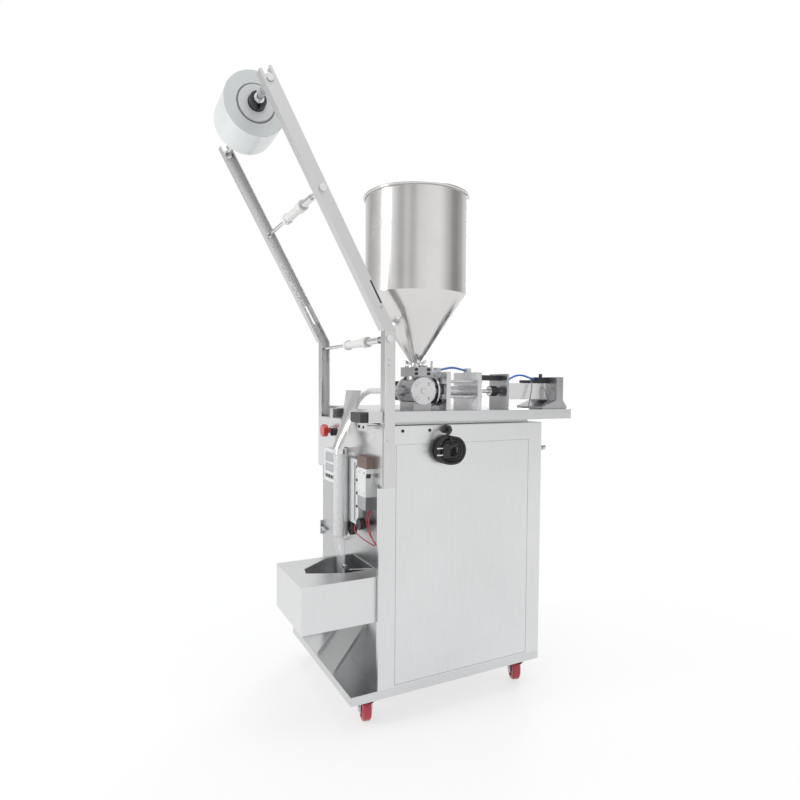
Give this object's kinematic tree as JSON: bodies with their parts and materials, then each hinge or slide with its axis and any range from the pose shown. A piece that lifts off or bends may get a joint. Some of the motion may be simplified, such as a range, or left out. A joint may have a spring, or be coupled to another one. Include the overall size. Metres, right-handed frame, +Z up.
{
  "type": "sachet packing machine",
  "caption": "Floor-standing liquid sachet packing machine: steel cabinet on casters, film reel on leaning arms, hopper, piston filler, film former, seal bars and jaw box.",
  "frame": {"origin": "middle of the footprint on the floor, under the centre of the bounding box", "axes": "+Z up, +X to the right of the operator, +Y from the operator to the rear"},
  "size_m": [0.5508, 0.972, 1.6098],
  "materials": {
    "cabinet_steel": "fine brushed stainless sheet",
    "frame_steel": "brushed stainless channel",
    "hopper_steel": "turned and polished stainless sheet",
    "machined_steel": "machined stainless",
    "chromed_rod": "ground and chromed bar",
    "aluminium": "anodised profile",
    "caster_zinc": "zinc plated pressing",
    "caster_wheel": "red polyurethane",
    "white_roller": "smooth white plastic",
    "film": "wound translucent film",
    "core_card": "grey core",
    "black_plastic": "moulded black",
    "red_plastic": "moulded red",
    "meter_case": "light grey case",
    "white_block": "white coated block",
    "rubber_wheel": "knurled rubber",
    "clear_hose": "milky silicone hose",
    "hose_blue": "blue air hose",
    "cord_black": "black cable sheath"
  },
  "bodies": {
    "machine": {"base_tray": "cabinet_steel", "left_side_panel": "cabinet_steel", "right_side_panel": "cabinet_steel", "rear_panel": "cabinet_steel", "front_panel": "cabinet_steel", "control_panel": "cabinet_steel", "cabinet_top": "cabinet_steel", "table_top": "cabinet_steel", "jaw_box": "cabinet_steel", "chute": "cabinet_steel", "right_column": "frame_steel", "left_column": "frame_steel", "right_arm": "frame_steel", "left_arm": "frame_steel", "hopper": "hopper_steel", "film_former": "hopper_steel", "forming_tube": "hopper_steel", "discharge_pipe": "clear_hose", "valve_body": "machined_steel", "valve_cover": "machined_steel", "filling_cylinder": "machined_steel", "cylinder_brackets": "machined_steel", "rear_jaw": "machined_steel", "roller_rods": "chromed_rod", "air_cylinder": "aluminium", "jaw_cylinder": "aluminium", "film_tube": "film", "mark_sensor": "black_plastic", "air_fittings": "black_plastic", "power_gland": "black_plastic", "valve_actuator": "black_plastic", "temperature_controller": "meter_case", "seal_bar_left": "white_block", "seal_cylinder": "white_block", "air_hoses": "hose_blue", "power_lead": "cord_black", "power_coil": "cord_black", "power_plug": "cord_black"},
    "reel": {"film_roll": "film", "film_core": "core_card", "roll_chucks": "black_plastic"},
    "lower_roll": {"lower_roller": "white_roller"},
    "upper_roll": {"upper_roller": "white_roller"},
    "pull_right": {"pull_wheel_right": "rubber_wheel"},
    "pull_left": {"pull_wheel_left": "rubber_wheel"},
    "piston": {"piston_rod": "chromed_rod"},
    "rotor": {"valve_rotor": "machined_steel"},
    "seal_bar": {"seal_bar_right": "white_block"},
    "jaw": {"front_jaw": "machined_steel"},
    "stop_button": {"emergency_stop": "red_plastic"},
    "selector": {"selector_switch": "black_plastic"},
    "start_button": {"push_button": "black_plastic"},
    "fork_front_right": {"caster_fork_front_right": "caster_zinc"},
    "wheel_front_right": {"caster_wheel_front_right": "caster_wheel"},
    "fork_rear_right": {"caster_fork_rear_right": "caster_zinc"},
    "wheel_rear_right": {"caster_wheel_rear_right": "caster_wheel"},
    "fork_front_left": {"caster_fork_front_left": "caster_zinc"},
    "wheel_front_left": {"caster_wheel_front_left": "caster_wheel"},
    "fork_rear_left": {"caster_fork_rear_left": "caster_zinc"},
    "wheel_rear_left": {"caster_wheel_rear_left": "caster_wheel"}
  },
  "joints": [
    {"name": "caster_swivel_front_right", "type": "hinge", "parent": "machine", "child": "fork_front_right", "pos_m": [0.1696, -0.15005, 0.071], "axis": [0, 0, 1], "continuous": true},
    {"name": "caster_roll_front_right", "type": "hinge", "parent": "fork_front_right", "child": "wheel_front_right", "pos_m": [0.14808, -0.14547, 0.032], "axis": [0.2079, 0.9781, 0], "continuous": true},
    {"name": "caster_swivel_rear_right", "type": "hinge", "parent": "machine", "child": "fork_rear_right", "pos_m": [0.1696, 0.32795, 0.071], "axis": [0, 0, 1], "continuous": true},
    {"name": "caster_roll_rear_right", "type": "hinge", "parent": "fork_rear_right", "child": "wheel_rear_right", "pos_m": [0.1492, 0.33619, 0.032], "axis": [0.3746, 0.9272, 0], "continuous": true},
    {"name": "caster_swivel_front_left", "type": "hinge", "parent": "machine", "child": "fork_front_left", "pos_m": [-0.2214, -0.15005, 0.071], "axis": [0, 0, 1], "continuous": true},
    {"name": "caster_roll_front_left", "type": "hinge", "parent": "fork_front_left", "child": "wheel_front_left", "pos_m": [-0.23825, -0.13591, 0.032], "axis": [0.6428, 0.766, 0], "continuous": true},
    {"name": "caster_swivel_rear_left", "type": "hinge", "parent": "machine", "child": "fork_rear_left", "pos_m": [-0.2214, 0.32795, 0.071], "axis": [0, 0, 1], "continuous": true},
    {"name": "caster_roll_rear_left", "type": "hinge", "parent": "fork_rear_left", "child": "wheel_rear_left", "pos_m": [-0.24045, 0.33895, 0.032], "axis": [0.5, 0.866, 0], "continuous": true},
    {"name": "film_reel_turn", "type": "hinge", "parent": "machine", "child": "reel", "pos_m": [0.0246, -0.40895, 1.53279], "axis": [1, 0, 0], "continuous": true},
    {"name": "lower_roller_turn", "type": "hinge", "parent": "machine", "child": "lower_roll", "pos_m": [0.0161, -0.11605, 0.979], "axis": [1, 0, 0], "continuous": true},
    {"name": "upper_roller_turn", "type": "hinge", "parent": "machine", "child": "upper_roll", "pos_m": [0.0041, -0.289, 1.31459], "axis": [1, 0, 0], "continuous": true},
    {"name": "pull_wheel_right_turn", "type": "hinge", "parent": "machine", "child": "pull_right", "pos_m": [0.0431, -0.13905, 0.476], "axis": [0, 1, 0], "continuous": true},
    {"name": "pull_wheel_left_turn", "type": "hinge", "parent": "machine", "child": "pull_left", "pos_m": [0.0061, -0.13905, 0.476], "axis": [0, 1, 0], "continuous": true},
    {"name": "piston_stroke", "type": "slide", "parent": "machine", "child": "piston", "axis": [0, -1, 0], "range_m": [0, 0.05]},
    {"name": "valve_turn", "type": "hinge", "parent": "machine", "child": "rotor", "pos_m": [0.1336, 0.00355, 0.851], "axis": [-1, 0, 0], "range_deg": [0, 90]},
    {"name": "seal_bar_close", "type": "slide", "parent": "machine", "child": "seal_bar", "axis": [-1, 0, 0], "range_m": [0, 0.0024]},
    {"name": "jaw_close", "type": "slide", "parent": "machine", "child": "jaw", "axis": [0, 1, 0], "range_m": [0, 0.024]},
    {"name": "emergency_stop_push", "type": "slide", "parent": "machine", "child": "stop_button", "axis": [0, 1, 0], "range_m": [0, 0.005], "stiffness_N_per_m": 600},
    {"name": "selector_turn", "type": "hinge", "parent": "machine", "child": "selector", "pos_m": [-0.0929, -0.14205, 0.729], "axis": [0, -1, 0], "range_deg": [-45, 45]},
    {"name": "push_button_push", "type": "slide", "parent": "machine", "child": "start_button", "axis": [0, 1, 0], "range_m": [0, 0.003], "stiffness_N_per_m": 300}
  ],
  "couplings": [
    {"joint": "pull_wheel_left_turn", "follows": "pull_wheel_right_turn", "ratio": -1}
  ]
}
